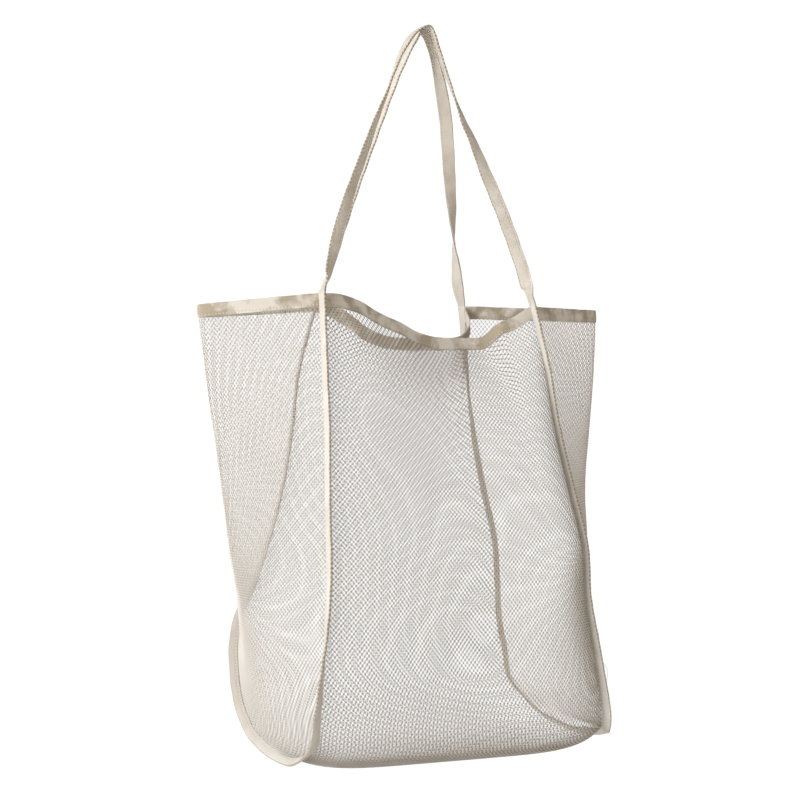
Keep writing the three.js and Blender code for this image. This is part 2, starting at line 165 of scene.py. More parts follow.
# Rims between the handles: share across, then dip, curl and lean
FRONT_RIM_ROWS = np.array([
    [0, 0, 0, 0],
    [0.1, 0.05, -0.05, 0.1],
    [0.2, 0.18, -0.03, 0.35],
    [0.3, 0.42, 0, 0.6],
    [0.4, 0.66, -0.03, 0.8],
    [0.5, 0.88, 0.02, 0.9],
    [0.6, 0.95, 0.05, 0.95],
    [0.7, 0.92, 0.07, 1],
    [0.765, 0.89, 0.08, 0.95],
    [0.805, 0.84, 0.06, 0.75],
    [0.845, 0.62, -0.1, 0.12],
    [0.9, 0.42, -0.05, 0],
    [1, 0, 0, 0],
])
BACK_RIM_ROWS = np.array([
    [0, 0, 0, 0],
    [0.1, 0.15, 0, 0.1],
    [0.2, 0.45, 0, 0.25],
    [0.3, 0.8, 0, 0.4],
    [0.4, 0.98, 0, 0.5],
    [0.5, 1.05, 0, 0.6],
    [0.65, 1.05, 0, 0.7],
    [0.8, 0.95, 0.08, 0.85],
    [0.9, 0.7, 0.2, 1],
    [0.96, 0.35, 0.2, 0.9],
    [1, 0, 0, 0],
])

# Handle legs from the hook down: shares of drop, width and depth, and the compass angle of the tape's width
FRONT_LEFT_LEG = [
    [0, 0, -0.039, -90],
    [0.012, -0.022, -0.04, -90],
    [0.035, -0.0476, -0.043, -90],
    [0.07, -0.0745, -0.05, -89],
    [0.13, -0.1038, -0.06, -100],
    [0.2, -0.1313, -0.074, -111],
    [0.28, -0.1625, -0.088, -120],
    [0.38, -0.2033, -0.104, -134],
    [0.48, -0.2421, -0.12, -144],
    [0.59, -0.2844, -0.138, -150],
    [0.69, -0.3211, -0.156, -163],
    [0.8, -0.3551, -0.174, -170],
    [0.87, -0.3779, -0.19, -155],
    [0.93, -0.3959, -0.204, -138],
    [0.958, -0.4052, -0.214, -120],
]
FRONT_RIGHT_LEG = [
    [0, 0, -0.039, -90],
    [0.01, 0.0114, -0.04, -95],
    [0.04, 0.0235, -0.045, -102],
    [0.1, 0.0395, -0.055, -106],
    [0.2, 0.0669, -0.074, -113],
    [0.27, 0.0881, -0.086, -128],
    [0.34, 0.1113, -0.096, -146],
    [0.42, 0.1432, -0.108, -160],
    [0.5, 0.1706, -0.122, -177],
    [0.6, 0.2071, -0.14, -193],
    [0.75, 0.2564, -0.167, -200],
    [0.885, 0.293, -0.192, -207],
    [0.95, 0.3055, -0.204, -236],
]
BACK_LEFT_LEG = [
    [0, 0, 0.039, -90],
    [0.01, -0.0025, 0.04, -90],
    [0.035, -0.0119, 0.042, -89],
    [0.08, -0.0324, 0.05, -88],
    [0.16, -0.0617, 0.066, -90],
    [0.25, -0.0905, 0.083, -91],
    [0.34, -0.1154, 0.098, -94],
    [0.5, -0.1603, 0.126, -100],
    [0.66, -0.2029, 0.155, -101],
    [0.8, -0.2392, 0.182, -102],
    [0.93, -0.2762, 0.206, -106],
]
BACK_RIGHT_LEG = [
    [0, 0, 0.039, -90],
    [0.01, 0.016, 0.04, -90],
    [0.035, 0.035, 0.042, -90],
    [0.095, 0.06, 0.053, -88],
    [0.16, 0.0815, 0.0665, -72],
    [0.23, 0.099, 0.08, -50],
    [0.315, 0.118, 0.097, -35],
    [0.53, 0.147, 0.134, -5],
    [0.66, 0.165, 0.158, 25],
    [0.76, 0.18, 0.18, 60],
    [0.85, 0.195, 0.2, 95],
    [0.925, 0.209, 0.222, 115],
]


# Camera, level with the bag's middle and turned 30 degrees to its left
CAMERA_TURN = math.radians(30)
CAMERA_AWAY = 1.610
CAMERA_ASIDE = 0.021
CAMERA_HEIGHT = -0.342


def set_camera():
    data = bpy.data.cameras.new("photo_camera")
    data.sensor_width = 36
    data.lens = 78.75
    data.clip_end = 50
    camera = bpy.data.objects.new("photo_camera", data)
    bpy.context.scene.collection.objects.link(camera)
    look = Vector((math.sin(CAMERA_TURN), math.cos(CAMERA_TURN), 0))
    side = Vector((math.cos(CAMERA_TURN), -math.sin(CAMERA_TURN), 0))
    camera.location = look * -CAMERA_AWAY + side * -CAMERA_ASIDE + Vector((0, 0, CAMERA_HEIGHT))
    camera.rotation_euler = look.to_track_quat("-Z", "Y").to_euler()
    bpy.context.scene.camera = camera


# Curves through tables
def smooth(rows, at):
    rows = np.asarray(rows, float)
    count = len(rows)
    at = np.clip(np.asarray(at, float), 0, count - 1)
    i = np.minimum(at.astype(int), count - 2)
    f = (at - i)[..., None]
    a, b = rows[np.maximum(i - 1, 0)], rows[i]
    c, d = rows[i + 1], rows[np.minimum(i + 2, count - 1)]
    return b + 0.5 * f * (c - a + f * (2 * a - 5 * b + 4 * c - d + f * (3 * (b - c) + d - a)))


def lookup(rows, x):
    at = np.interp(x, rows[:, 0], np.arange(len(rows)))
    return smooth(rows[:, 1:], at)


def unit(v):
    return v / np.maximum(np.linalg.norm(v, axis=-1, keepdims=True), 1e-12)


def lengths_along(points):
    return np.concatenate([[0], np.cumsum(np.linalg.norm(np.diff(points, axis=0), axis=1))])


# The bag's surfaces
def seam(side, at):
    row = smooth(SEAM_ROWS, at)
    k = 0 if side < 0 else 3
    return np.stack([
        side * row[..., k + 1] * BODY_WIDTH,
        row[..., k + 2] * BODY_DEPTH,
        -HANDLE_DROP - row[..., k] * BODY_HEIGHT,
    ], -1)


def outward(at):
    low, high = np.clip(at - SLOPE_REACH, 0, LAST), np.clip(at + SLOPE_REACH, 0, LAST)
    along = seam(-1, high) + seam(1, high) - seam(-1, low) - seam(1, low)
    return unit(np.stack([0 * along[..., 0], along[..., 2], -along[..., 1]], -1))


def binding_way(side, at):
    turn = np.radians(smooth(SEAM_ROWS, at)[..., 7 if side < 0 else 8])
    way = outward(at) * np.cos(turn)[..., None]
    way[..., 0] += side * np.sin(turn)
    return way


def run_table():
    at = np.linspace(0, LAST, SEAM_SAMPLES)
    steps = [np.linalg.norm(np.diff(seam(side, at), axis=0), axis=1) for side in (-1, 1)]
    return at, np.concatenate([[0], np.cumsum((steps[0] + steps[1]) / 2)])


STATIONS, RUNS = run_table()
RUN = RUNS[-1]


def station_of(run):
    return np.interp(run, RUNS, STATIONS)


def fade(run, reach):
    below = np.maximum(run - BAND_HEIGHT, 0)
    return np.clip(1 - below / reach, 0, 1) ** 2


def long_panel(run, across):
    at = station_of(run)
    left = seam(-1, at)
    p = left + (seam(1, at) - left) * across[..., None]
    sideways = 2 * across - 1
    spread = (1 - sideways ** BULGE_FLATNESS) * (1 + BULGE_TILT * sideways)
    share = smooth(SEAM_ROWS, at)[..., 6] * spread
    p = p + outward(at) * (share * BULGE)[..., None]
    front, back = lookup(FRONT_RIM_ROWS, across), lookup(BACK_RIM_ROWS, across)
    rest = RUN - run
    dip = front[..., 0] * fade(run, DIP_FADE) + back[..., 0] * fade(rest, DIP_FADE)
    curl = front[..., 1] * fade(run, CURL_FADE) + back[..., 1] * fade(rest, CURL_FADE)
    lean = front[..., 2] * fade(run, LEAN_FADE) - back[..., 2] * fade(rest, LEAN_FADE)
    p[..., 2] -= RIM_DIP * (dip + curl)
    p[..., 1] += RIM_LEAN * lean
    return p


def side_ends(side, down):
    ends = []
    for start in (0, LAST):
        at = np.linspace(start, LOW_STATION, EDGE_SAMPLES)
        height = seam(side, at)[:, 2]
        low = seam(side, np.array(float(LOW_STATION)))[2] + GAP
        want = height[0] + (low - height[0]) * down
        ends.append(np.interp(-want, np.maximum.accumulate(-height), at))
    return ends


def side_panel(side, down, t, ends):
    front, back = seam(side, ends[0]), seam(side, ends[1])
    fold = lookup(FOLD_ROWS, down)
    reach, soft = (fold[..., 0], fold[..., 1]) if side < 0 else (fold[..., 2], fold[..., 3])
    shape = 1 - (np.hypot(t, soft) - soft) / (np.hypot(1, soft) - soft)
    p = front + (back - front) * ((t + 1) / 2)[..., None]
    p[..., 0] += side * FOLD_REACH * reach * shape
    p[..., 2] -= FOLD_DROOP[side] * shape * (1 - down) ** 2
    return p


# How flat cloth is laid on those surfaces; a point of flat cloth is (across, below the rim)
class LongCloth:
    """The net that wraps under the bag; across is measured from its middle line."""

    length = RUN
    half = 0.5 * float(np.max(np.linalg.norm(seam(1, STATIONS) - seam(-1, STATIONS), axis=1)))

    def width_at(self, at):
        return np.linalg.norm(seam(1, at) - seam(-1, at), axis=-1)

    def outside(self, s, run):
        return np.abs(s) - self.width_at(station_of(run)) / 2

    def place(self, s, run):
        run = np.clip(run, 0, RUN)
        at = station_of(run)
        width = self.width_at(at)
        p = long_panel(run, np.clip(0.5 + s / width, 0, 1))
        over = np.clip(np.abs(s) - width / 2, 0, SEAM_ALLOWANCE)
        way = np.where((s < 0)[..., None], binding_way(-1, at), binding_way(1, at))
        return p + way * over[..., None]


class SideCloth:
    """A side panel; across is measured along the cloth from its fold, the front is negative."""

    def __init__(self, side):
        self.side = side
        rows = np.linspace(0, 0.998, PANEL_ROWS)
        front, back = side_ends(side, rows)
        height = seam(side, np.array(0.0))[2] - seam(side, np.array(float(LOW_STATION)))[2]
        self.below = rows * height
        self.length = float(height)
        t = np.linspace(-1, 1, 2 * HALF_COLUMNS + 1)
        self.grid_s = np.arange(-CLOTH_REACH, CLOTH_REACH + CLOTH_STEP / 2, CLOTH_STEP)
        self.reach = []
        grid = []
        for down, a, b in zip(rows, front, back):
            p = side_panel(side, np.full_like(t, down), t, (np.full_like(t, a), np.full_like(t, b)))
            s = lengths_along(p)
            s -= s[HALF_COLUMNS]
            self.reach.append((s[0], s[-1]))
            line = np.stack([np.interp(self.grid_s, s, p[:, k]) for k in range(3)], -1)
            before = np.minimum(self.grid_s - s[0], 0)[:, None]
            after = np.maximum(self.grid_s - s[-1], 0)[:, None]
            line += before * unit(p[4] - p[0]) + after * unit(p[-1] - p[-5])
            grid.append(line)
        self.grid = np.array(grid)
        self.reach = np.array(self.reach)
        at = np.linspace(0, LAST, NEAREST_SAMPLES)
        self.seam_points = seam(side, at)
        self.seam_ways = binding_way(side, at)

    def spread(self, s, below):
        row = np.clip(np.interp(below, self.below, np.arange(len(self.below))), 0, len(self.below) - 1.001)
        col = np.clip((s - self.grid_s[0]) / (self.grid_s[1] - self.grid_s[0]), 0, len(self.grid_s) - 1.001)
        i, j = row.astype(int), col.astype(int)
        fi, fj = (row - i)[..., None], (col - j)[..., None]
        g = self.grid
        upper = g[i, j] * (1 - fj) + g[i, j + 1] * fj
        lower = g[i + 1, j] * (1 - fj) + g[i + 1, j + 1] * fj
        p = upper * (1 - fi) + lower * fi
        p[..., 2] -= np.maximum(below - self.below[-1], 0)
        return p

    def beyond(self, s, below):
        low = np.interp(below, self.below, self.reach[:, 0])
        high = np.interp(below, self.below, self.reach[:, 1])
        return (s < low) | (s > high) | (below > self.below[-1])

    def nearest(self, p):
        best = np.empty(len(p), int)
        for start in range(0, len(p), NEAREST_BATCH):
            batch = slice(start, start + NEAREST_BATCH)
            gap = ((p[batch, None, :] - self.seam_points[None]) ** 2).sum(-1)
            best[batch] = gap.argmin(1)
        return best

    def outside(self, s, below):
        p = self.spread(s, below)
        away = self.beyond(s, below)
        result = np.full(len(s), -1.0)
        k = self.nearest(p[away])
        result[away] = np.linalg.norm(p[away] - self.seam_points[k], axis=1)
        return result

    def place(self, s, below):
        p = self.spread(s, below)
        away = self.beyond(s, below)
        k = self.nearest(p[away])
        gap = np.linalg.norm(p[away] - self.seam_points[k], axis=1)
        p[away] = self.seam_points[k] + self.seam_ways[k] * np.minimum(gap, SEAM_ALLOWANCE)[:, None]
        return p


# Work on meshes
def deselect_all():
    if bpy.context.object is not None and bpy.context.object.mode != "OBJECT":
        bpy.ops.object.mode_set(mode="OBJECT")
    bpy.ops.object.select_all(action="DESELECT")


def take(piece):
    deselect_all()
    piece.select_set(True)
    bpy.context.view_layer.objects.active = piece


def points_of(piece):
    co = np.empty(len(piece.data.vertices) * 3, np.float32)
    piece.data.vertices.foreach_get("co", co)
    return co.reshape(-1, 3).astype(float)


def set_points(piece, points):
    piece.data.vertices.foreach_set("co", np.asarray(points, np.float32).ravel())
    piece.data.update()


def select_in(piece, edges=None, faces=None):
    """Selects these edges or faces alone, given as arrays of true and false."""
    mesh = piece.data
    for kind, chosen in ((mesh.vertices, None), (mesh.edges, edges), (mesh.polygons, faces)):
        values = np.zeros(len(kind), bool) if chosen is None else np.asarray(chosen, bool)
        kind.foreach_set("select", values)


def edit(piece, mode):
    take(piece)
    bpy.ops.object.mode_set(mode="EDIT")
    bpy.ops.mesh.select_mode(type=mode)


def leave():
    bpy.ops.object.mode_set(mode="OBJECT")


def apply(piece, modifier):
    take(piece)
    bpy.ops.object.modifier_apply(modifier=modifier.name)


def face_middles(piece):
    middles = np.empty(len(piece.data.polygons) * 3, np.float32)
    piece.data.polygons.foreach_get("center", middles)
    return middles.reshape(-1, 3).astype(float)


def write_uv(piece, per_vertex, name="cloth"):
    layer = piece.data.uv_layers.get(name) or piece.data.uv_layers.new(name=name)
    index = np.empty(len(piece.data.loops), np.int32)
    piece.data.loops.foreach_get("vertex_index", index)
    layer.data.foreach_set("uv", np.asarray(per_vertex, np.float32)[index].ravel())


def finish_piece(piece, slot, material, *nodes):
    piece.data.materials.clear()
    piece.data.materials.append(material)
    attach(piece, "root")
    if nodes:
        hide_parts(*nodes)
    return piece


# Net
def cut_net(net, below, gone):
    """Cuts flat strands straight across, this far below the rim, and drops what lies above or below."""
    if below is None:
        return
    edit(net, "FACE")
    bpy.ops.mesh.select_all(action="SELECT")
    bpy.ops.mesh.bisect(
        plane_co=(0, below, 0), plane_no=(0, 1, 0), clear_inner=gone == "above", clear_outer=gone == "below"
    )
    leave()


def flat_net(name, half, length, outside, both_ends=False):
    """Diamonds of net lying flat, cut just outside the seams, as strands of yarn."""
    columns = 2 * math.ceil(half / NET_PITCH) + 4
    rows = math.ceil(length / NET_RISE) + 4
    deselect_all()
    bpy.ops.mesh.primitive_grid_add(x_subdivisions=columns, y_subdivisions=rows, size=2)
    net = bpy.context.object
    net.name = name
    net.data.name = name
    edit(net, "FACE")
    bpy.ops.mesh.select_all(action="SELECT")
    bpy.ops.mesh.poke()
    leave()
    points = points_of(net)
    points[:, 0] *= columns / 2
    points[:, 1] = (1 - points[:, 1]) * rows / 2
    set_points(net, points)
    whole = np.abs(points[:, :2] - np.round(points[:, :2])).max(1) < 0.1
    ends = np.empty(len(net.data.edges) * 2, np.int32)
    net.data.edges.foreach_get("vertices", ends)
    ends = ends.reshape(-1, 2)
    middle = points[ends].mean(1)
    inner = (np.abs(middle[:, 0]) < columns / 2 - 0.1) & (np.abs(middle[:, 1] - rows / 2) < rows / 2 - 0.1)
    select_in(net, edges=whole[ends].all(1) & inner)
    edit(net, "EDGE")
    bpy.ops.mesh.dissolve_edges(use_verts=False)
    leave()
    points = points_of(net)
    points[:, 0] *= NET_PITCH
    points[:, 1] = (points[:, 1] - NET_ROWS_ABOVE) * NET_RISE
    set_points(net, points)
    middles = face_middles(net)
    below = middles[:, 1]
    past_seam = outside(middles[:, 0], below) > SEAM_ALLOWANCE - NET_MARGIN
    gone = past_seam | (below < NET_MARGIN) | (below > length)
    select_in(net, faces=gone)
    edit(net, "FACE")
    bpy.ops.mesh.delete(type="FACE")
    leave()
    strands = net.modifiers.new("strands", "WIREFRAME")
    strands.thickness = YARN
    strands.use_even_offset = False
    strands.use_boundary = False
    strands.use_replace = True
    apply(net, strands)
    cut_net(net, NET_HEM, "above")
    cut_net(net, length - NET_HEM if both_ends else None, "below")
    return net


def lay_net(net, cloth):
    """Lays flat strands on the bag, their thickness square to its surface."""
    flat = points_of(net)
    s, below, rise = flat[:, 0], flat[:, 1], flat[:, 2]
    write_uv(net, flat[:, :2])
    p = cloth.place(s, below)
    along = cloth.place(s, below + LAY_STEP) - cloth.place(s, below - LAY_STEP)
    across = cloth.place(s + LAY_STEP, below) - cloth.place(s - LAY_STEP, below)
    normal = unit(np.cross(along, across))
    set_points(net, p + normal * rise[:, None])
    take(net)
    bpy.ops.object.shade_smooth()


def split_net(net, limits, names):
    """Cuts the long net in pieces at these distances below the front rim, each a copy of its own."""
    edges = [None, *limits, None]
    pieces = []
    for name, top, low in zip(names, edges, edges[1:]):
        piece = net.copy()
        piece.data = net.data.copy()
        piece.name = piece.data.name = name
        bpy.context.scene.collection.objects.link(piece)
        cut_net(piece, top, "above")
        cut_net(piece, low, "below")
        pieces.append(piece)
    bpy.data.objects.remove(net)
    return pieces


# Folded tape
def folded_section(width, thick, notch, columns):
    """A tape folded in two: its fold at width, its two edges at 0 with a slit of this depth between them.
    Each point is (distance from the edges, offset)."""
    half = thick / 2
    slit = SLIT_HALF * thick
    edge = half * TAPE_EDGE
    flank = np.linspace(0, width - half, columns)
    swell = 1 - TAPE_SWELL * np.cos(2 * np.pi * flank / width)
    turn = np.radians([60, 30, 0, -30, -60])
    section = [(0, edge)]
    section += [(a, half * k) for a, k in zip(flank[1:], swell[1:])]
    section += [(width - half + half * math.cos(a), half * math.sin(a)) for a in turn]
    section += [(a, -half * k) for a, k in zip(flank[:0:-1], swell[:0:-1])]
    end = slit * SLIT_END
    section += [(0, -edge), (SLIT_LIP, -slit), (notch, -end), (notch, end), (SLIT_LIP, slit)]
    return np.array(section)


def loft(name, rings, lengths, distances):
    """One closed skin over rings of points, with flat ends and the tape's own map."""
    count, ring = rings.shape[:2]
    faces = [
        (i * ring + k, i * ring + (k + 1) % ring, (i + 1) * ring + (k + 1) % ring, (i + 1) * ring + k)
        for i in range(count - 1)
        for k in range(ring)
    ]
    faces += [tuple(range(ring))[::-1], tuple(range((count - 1) * ring, count * ring))]
    mesh = bpy.data.meshes.new(name)
    mesh.from_pydata(rings.reshape(-1, 3).tolist(), [], faces)
    piece = bpy.data.objects.new(name, mesh)
    bpy.context.scene.collection.objects.link(piece)
    write_uv(piece, np.stack([np.repeat(lengths, ring), np.tile(distances, count)], -1))
    edit(piece, "FACE")
    bpy.ops.mesh.select_all(action="SELECT")
    bpy.ops.mesh.normals_make_consistent(inside=False)
    leave()
    bpy.ops.object.shade_smooth_by_angle(angle=math.radians(50))
    return piece


def spaced(points_at, low, high):
    """Values between low and high whose points lie one station step apart."""
    fine = np.linspace(low, high, 2000)
    length = lengths_along(points_at(fine))
    return np.interp(np.linspace(0, length[-1], int(length[-1] / STATION_STEP) + 2), length, fine)


def pucker(length, reach):
    """A small uneven wave along sewn tape, the same each run."""
    wave = 0.5 * np.sin(length / 0.0041 + 1.3)
    wave = wave + 0.3 * np.sin(length / 0.0097 + 0.4)
    wave = wave + 0.2 * np.sin(length / 0.0023)
    return reach * wave


def strip(name, centres, ways, section, scale=None):
    """Folded tape along a line of edge points; ways point from the tape's edges to its fold. Gives the
    tape and its course: its directions across, square to its face and along, and the length so far."""
    along = np.gradient(centres, axis=0)
    along[[0, -1], :2] = 0
    along = unit(along)
    wide = unit(ways - along * (ways * along).sum(1, keepdims=True))
    flat = np.cross(along, wide)
    lengths = lengths_along(centres)
    scale = np.ones(len(centres)) if scale is None else scale
    edgewise, thicker, sideways = STRAP_PUCKER
    a = section[None, :, 0] * scale[:, None] + pucker(lengths, edgewise)[:, None]
    b = section[None, :, 1] * (1 + pucker(lengths, thicker))[:, None]
    b = b + pucker(lengths + STRAP_PUCKER_SHIFT, sideways)[:, None]
    rings = centres[:, None] + wide[:, None] * a[..., None] + flat[:, None] * b[..., None]
    return loft(name, rings, lengths, section[:, 0]), (wide, flat, along, lengths)


def stitch_shape():
    """One sewn stitch, modelled once: a bead of thread drawn out and pulled down at both ends."""
    deselect_all()
    bpy.ops.mesh.primitive_uv_sphere_add(segments=6, ring_count=5, radius=0.5, rotation=(0, math.pi / 2, 0))
    bead = bpy.context.object
    bpy.ops.object.transform_apply(location=False, rotation=True, scale=False)
    points = points_of(bead)
    points[:, 0] *= STITCH_LENGTH
    points[:, 1:] *= STITCH_THICK
    points[:, 2] -= STITCH_THICK * 1.1 * (points[:, 0] / (STITCH_LENGTH / 2)) ** 4
    faces = [tuple(f.vertices) for f in bead.data.polygons]
    bpy.data.objects.remove(bead)
    return points, faces


STITCH = stitch_shape()


def stitch_row(name, lines):
    """Stitches along lines, each (points, directions along, directions up) at every stitch."""
    shape, faces = STITCH
    points, all_faces = [], []
    for centres, along, up in lines:
        across = np.cross(up, along)
        for c, x, y, z in zip(centres, along, across, up):
            start = len(points) * len(shape)
            points.append(c + shape[:, :1] * x + shape[:, 1:2] * y + shape[:, 2:] * z)
            all_faces += [tuple(v + start for v in f) for f in faces]
    mesh = bpy.data.meshes.new(name)
    mesh.from_pydata(np.concatenate(points).tolist(), [], all_faces)
    piece = bpy.data.objects.new(name, mesh)
    bpy.context.scene.collection.objects.link(piece)
    take(piece)
    bpy.ops.object.shade_smooth()
    return piece


def both_faces(base, along, face, half):
    """Two stitch lines, one on each face of a tape this thick to each side of its middle."""
    return [(base + face * half, along, face), (base - face * half, along, -face)]


def along_strip(centres, course, inset, half):
    """The stitch lines of a folded tape."""
    wide, flat, along, lengths = course
    at = np.arange(STITCH_PITCH, lengths[-1] - STITCH_PITCH, STITCH_PITCH)

    def pick(v):
        return np.stack([np.interp(at, lengths, v[:, k]) for k in range(3)], -1)

    face = unit(pick(flat))
    puckered = pucker(at + STRAP_PUCKER_SHIFT, STRAP_PUCKER[2])[:, None]
    base = pick(centres) + unit(pick(wide)) * inset + face * puckered
    return both_faces(base, unit(pick(along)), face, half)


# Materials
def new_group(name, inputs, outputs):
    """A group with these named inputs, where None stands for a place, and these named values as outputs."""
    group = bpy.data.node_groups.new(name, "ShaderNodeTree")
    for label, value in inputs.items():
        kind = "NodeSocketVector" if value is None else "NodeSocketFloat"
        socket = group.interface.new_socket(name=label, in_out="INPUT", socket_type=kind)
        if value is not None:
            socket.default_value = value
    for label in outputs:
        group.interface.new_socket(name=label, in_out="OUTPUT", socket_type="NodeSocketFloat")
    return group, group.nodes.new("NodeGroupInput"), group.nodes.new("NodeGroupOutput")


def math_node(tree, operation, *values, clamp=False):
    node = tree.nodes.new("ShaderNodeMath")
    node.operation = operation
    node.use_clamp = clamp
    for k, value in enumerate(values):
        if isinstance(value, (int, float)):
            node.inputs[k].default_value = value
        else:
            tree.links.new(value, node.inputs[k])
    return node.outputs[0]


def wave_node(tree, operation, value, pitch):
    """A sine or cosine that repeats at this pitch."""
    turns = math_node(tree, "DIVIDE", value, pitch)
    return math_node(tree, operation, math_node(tree, "MULTIPLY", turns, 2 * math.pi))


def split_map(tree, cloth):
    """The two directions of a cloth's own map: along a tape and from its edges, or across a net and below."""
    cut = tree.nodes.new("ShaderNodeSeparateXYZ")
    tree.links.new(cloth, cut.inputs[0])
    return cut.outputs[0], cut.outputs[1]


def twill_group():
    """Slanting ridges of twill on a tape's own map, with the threads that cross them."""
    group, start, end = new_group(
        "twill weave", {"Cloth": None, "Ridge": 0.0013, "Slant": 0.9}, ("Ridges", "Height")
    )
    along, aside = split_map(group, start.outputs["Cloth"])
    slanted = math_node(group, "MULTIPLY", aside, start.outputs["Slant"])
    ridge = wave_node(group, "SINE", math_node(group, "ADD", along, slanted), start.outputs["Ridge"])
    ridge = math_node(group, "MULTIPLY_ADD", ridge, 0.5, 0.5)
    cross = wave_node(group, "SINE", math_node(group, "SUBTRACT", aside, along), CROSS_THREAD_PITCH)
    group.links.new(ridge, end.inputs["Ridges"])
    group.links.new(math_node(group, "MULTIPLY_ADD", cross, 0.22, ridge), end.inputs["Height"])
    return group


def fibre_group():
    """Uneven cotton: cloudy tone and fine fuzz in object space."""
    group, start, end = new_group(
        "cotton fibre", {"Place": None, "Cloud Size": 60.0, "Fuzz Size": 2500.0}, ("Cloud", "Fuzz")
    )
    for scale, label, detail in (("Cloud Size", "Cloud", 3.0), ("Fuzz Size", "Fuzz", 2.0)):
        noise = group.nodes.new("ShaderNodeTexNoise")
        noise.inputs["Detail"].default_value = detail
        group.links.new(start.outputs["Place"], noise.inputs["Vector"])
        group.links.new(start.outputs[scale], noise.inputs["Scale"])
        group.links.new(noise.outputs["Fac"], end.inputs[label])
    return group


def needle_group():
    """The small pits where the needle went in, a stitch apart along the sewn line, and the pull beside it."""
    group, start, end = new_group(
        "needle pits", {"Cloth": None, "Pitch": STITCH_PITCH, "Inset": STITCH_INSET}, ("Pits", "Pull")
    )
    along, aside = split_map(group, start.outputs["Cloth"])
    wave = wave_node(group, "COSINE", along, start.outputs["Pitch"])
    near = math_node(group, "MULTIPLY_ADD", wave, -0.5, 0.5)
    sharp = math_node(group, "POWER", near, 6.0)
    off = math_node(group, "ABSOLUTE", math_node(group, "SUBTRACT", aside, start.outputs["Inset"]))
    band = math_node(group, "SUBTRACT", 1.0, math_node(group, "DIVIDE", off, 0.0005), clamp=True)
    pull = math_node(group, "SUBTRACT", 1.0, math_node(group, "DIVIDE", off, 0.0012), clamp=True)
    group.links.new(math_node(group, "MULTIPLY", sharp, band), end.inputs["Pits"])
    group.links.new(pull, end.inputs["Pull"])
    return group


def knot_group():
    """Where the strands of the net cross, on the net's own flat map, for the painted shade there."""
    group, start, end = new_group(
        "net knots", {"Cloth": None, "Pitch": NET_PITCH, "Rise": NET_RISE}, ("Knots",)
    )
    across, below = split_map(group, start.outputs["Cloth"])
    waves = [
        wave_node(group, "COSINE", across, start.outputs["Pitch"]),
        wave_node(group, "COSINE", below, start.outputs["Rise"]),
    ]
    met = math_node(group, "MULTIPLY", math_node(group, "MULTIPLY", *waves), -1.0, clamp=True)
    group.links.new(math_node(group, "POWER", met, 1.5), end.inputs["Knots"])
    return group


def fold_shade_group():
    """Painted shade along a tape's rounded fold, broken into slanting marks."""
    group, start, end = new_group(
        "painted fold shade", {"Cloth": None, "Fold": BINDING_WIDTH, "Reach": FOLD_SHADE_REACH}, ("Fold Shade",)
    )
    along, aside = split_map(group, start.outputs["Cloth"])
    marks = wave_node(group, "SINE", math_node(group, "ADD", along, aside), FOLD_SHADE_PITCH)
    marks = math_node(group, "MULTIPLY_ADD", marks, 0.3, 0.7)
    away = math_node(group, "SUBTRACT", start.outputs["Fold"], aside)
    near = math_node(group, "SUBTRACT", start.outputs["Reach"], away)
    band = math_node(group, "DIVIDE", near, 0.0002, clamp=True)
    group.links.new(math_node(group, "MULTIPLY", marks, band), end.inputs["Fold Shade"])
    return group


def place_group(tree, group, **values):
    node = tree.nodes.new("ShaderNodeGroup")
    node.node_tree = group
    for label, value in values.items():
        socket = node.inputs[label.replace("_", " ")]
        if hasattr(value, "node"):
            tree.links.new(value, socket)
        else:
            socket.default_value = value
    return node


def new_material(name):
    material = bpy.data.materials.new(name)
    material.use_nodes = True
    tree = material.node_tree
    shader = tree.nodes["Principled BSDF"]
    where = tree.nodes.new("ShaderNodeTexCoord")
    cloth = tree.nodes.new("ShaderNodeUVMap")
    cloth.uv_map = "cloth"
    return material, tree, shader, where.outputs["Object"], cloth.outputs["UV"]


def ramp(tree, value, stops):
    node = tree.nodes.new("ShaderNodeValToRGB")
    tree.links.new(value, node.inputs[0])
    elements = node.color_ramp.elements
    for k, (position, colour) in enumerate(stops):
        element = elements[k] if k < 2 else elements.new(position)
        element.position = position
        element.color = (*colour, 1)
    return node.outputs["Color"]


def darken(tree, colour, mask, shade):
    """Multiplies the colour by this shade where the mask is high."""
    mix = tree.nodes.new("ShaderNodeMix")
    mix.data_type = "RGBA"
    mix.blend_type = "MULTIPLY"
    tree.links.new(mask, mix.inputs["Factor"])
    tree.links.new(colour, mix.inputs[6])
    mix.inputs[7].default_value = (*shade, 1)
    return mix.outputs[2]


def roughen(tree, shader, fuzz, spread, low):
    tree.links.new(math_node(tree, "MULTIPLY_ADD", fuzz, spread, low), shader.inputs["Roughness"])


def bump(tree, shader, height, distance, strength=1.0, below=None):
    node = tree.nodes.new("ShaderNodeBump")
    node.inputs["Distance"].default_value = distance
    node.inputs["Strength"].default_value = strength
    tree.links.new(height, node.inputs["Height"])
    if below is not None:
        tree.links.new(below, node.inputs["Normal"])
    tree.links.new(node.outputs["Normal"], shader.inputs["Normal"])
    return node.outputs["Normal"]


TWILL = twill_group()
FIBRE = fibre_group()
NEEDLE = needle_group()
KNOTS = knot_group()
FOLD_SHADE = fold_shade_group()


